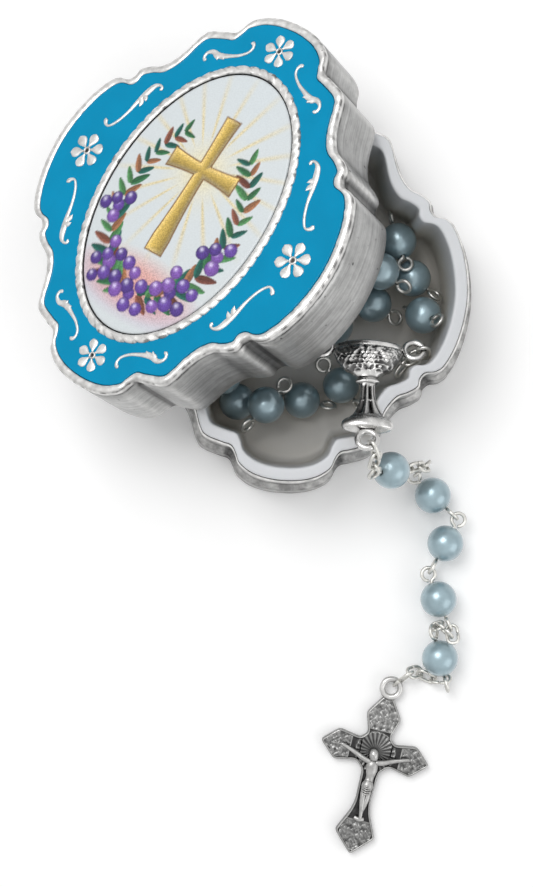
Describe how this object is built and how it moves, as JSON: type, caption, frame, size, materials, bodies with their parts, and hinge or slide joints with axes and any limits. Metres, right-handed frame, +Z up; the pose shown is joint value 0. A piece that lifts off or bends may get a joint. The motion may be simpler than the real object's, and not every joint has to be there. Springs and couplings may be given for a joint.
{
  "type": "rosary box",
  "caption": "Scalloped lift-off-lid keepsake box, opened, with its pearl rosary: beads heaped in the lined tray, the centrepiece on the rim and the tail and crucifix in front.",
  "frame": {"origin": "middle of the base's flat underside, which stands on the table", "axes": "+Y along the base's length, away from the rosary's tail; +X across it, towards the side on which the tail lies; +Z up"},
  "size_m": [0.0737, 0.1332, 0.0409],
  "materials": {
    "silver": "brushed and lightly antiqued",
    "blue_enamel": "glossy epoxy enamel",
    "cameo_plate": null,
    "white_liner": "satin moulded plastic",
    "cast_silver": "cast and antiqued",
    "pearl": "pearlescent",
    "wire": "bright plated wire"
  },
  "bodies": {
    "base": {"base_shell": "silver", "base_liner": "white_liner", "chalice_centrepiece": "cast_silver", "side_link_1": "wire", "side_link_2": "wire", "side_link_3": "wire", "heap_strand_1": "pearl", "heap_strand_2": "pearl", "heap_strand_3": "pearl", "heap_strand_4": "pearl", "box_1_pin": "wire", "box_1_bead": "pearl", "box_2_pin": "wire", "box_2_bead": "pearl", "box_3_pin": "wire", "box_3_bead": "pearl", "box_4_pin": "wire", "box_4_bead": "pearl", "box_5_pin": "wire", "box_5_bead": "pearl", "box_6_pin": "wire", "box_6_bead": "pearl", "box_7_pin": "wire", "box_7_bead": "pearl", "box_8_pin": "wire", "box_8_bead": "pearl", "box_9_pin": "wire", "box_9_bead": "pearl", "tail_link_1": "wire", "tail_link_2": "wire", "tail_link_3": "wire", "tail_link_4": "wire", "tail_link_5": "wire", "tail_link_6": "wire", "tail_1_pin": "wire", "tail_2_pin": "wire"},
    "lid": {"lid_shell": "silver", "lid_enamel": "blue_enamel", "cameo_plate": "cameo_plate"},
    "tail_bead_1": {"tail_1_bead": "pearl"},
    "tail_bead_2": {"tail_2_bead": "pearl"},
    "tail_run_3": {"tail_3_pin": "wire"},
    "tail_bead_3": {"tail_3_bead": "pearl"},
    "tail_run_4": {"tail_4_pin": "wire"},
    "tail_bead_4": {"tail_4_bead": "pearl"},
    "tail_run_5": {"tail_link_7": "wire", "tail_link_8": "wire", "tail_link_9": "wire", "tail_link_10": "wire", "tail_link_11": "wire", "tail_link_12": "wire", "tail_link_13": "wire", "tail_5_pin": "wire"},
    "tail_bead_5": {"tail_5_bead": "pearl"},
    "crucifix": {"crucifix": "cast_silver"}
  },
  "joints": [
    {"name": "lid_lift", "type": "slide", "parent": "base", "child": "lid", "axis": [0, 0, 1], "range_m": [0, 0.04]},
    {"name": "bead_1_spin", "type": "hinge", "parent": "base", "child": "tail_bead_1", "pos_m": [0.01711, -0.02798, 0.01426], "axis": [0.627, 0.1367, -0.767], "continuous": true},
    {"name": "bead_2_spin", "type": "hinge", "parent": "base", "child": "tail_bead_2", "pos_m": [0.02502, -0.03173, 0.00305], "axis": [0.7627, -0.6468, 0], "continuous": true},
    {"name": "bead_3_spin", "type": "hinge", "parent": "tail_run_3", "child": "tail_bead_3", "pos_m": [0.02759, -0.03954, 0.00305], "axis": [-0.4258, -0.9048, 0], "continuous": true},
    {"name": "bead_4_spin", "type": "hinge", "parent": "tail_run_4", "child": "tail_bead_4", "pos_m": [0.02703, -0.04884, 0.00305], "axis": [0.4337, -0.9011, 0], "continuous": true},
    {"name": "bead_5_spin", "type": "hinge", "parent": "tail_run_5", "child": "tail_bead_5", "pos_m": [0.02788, -0.0586, 0.00306], "axis": [0.289, -0.9573, 0], "continuous": true},
    {"name": "tail_3_swing", "type": "hinge", "parent": "base", "child": "tail_run_3", "pos_m": [0.02949, -0.03551, 0.00305], "axis": [0, 0, 1], "range_deg": [-15, 15]},
    {"name": "tail_4_swing", "type": "hinge", "parent": "tail_run_3", "child": "tail_run_4", "pos_m": [0.0251, -0.04483, 0.00305], "axis": [0, 0, 1], "range_deg": [-15, 15]},
    {"name": "tail_5_swing", "type": "hinge", "parent": "tail_run_4", "child": "tail_run_5", "pos_m": [0.02944, -0.05385, 0.00372], "axis": [0, 0, 1], "range_deg": [-8, 12]},
    {"name": "crucifix_swing", "type": "hinge", "parent": "tail_run_5", "child": "crucifix", "pos_m": [0.02026, -0.06417, 0.00135], "axis": [0, 0, 1], "range_deg": [-20, 20]}
  ]
}
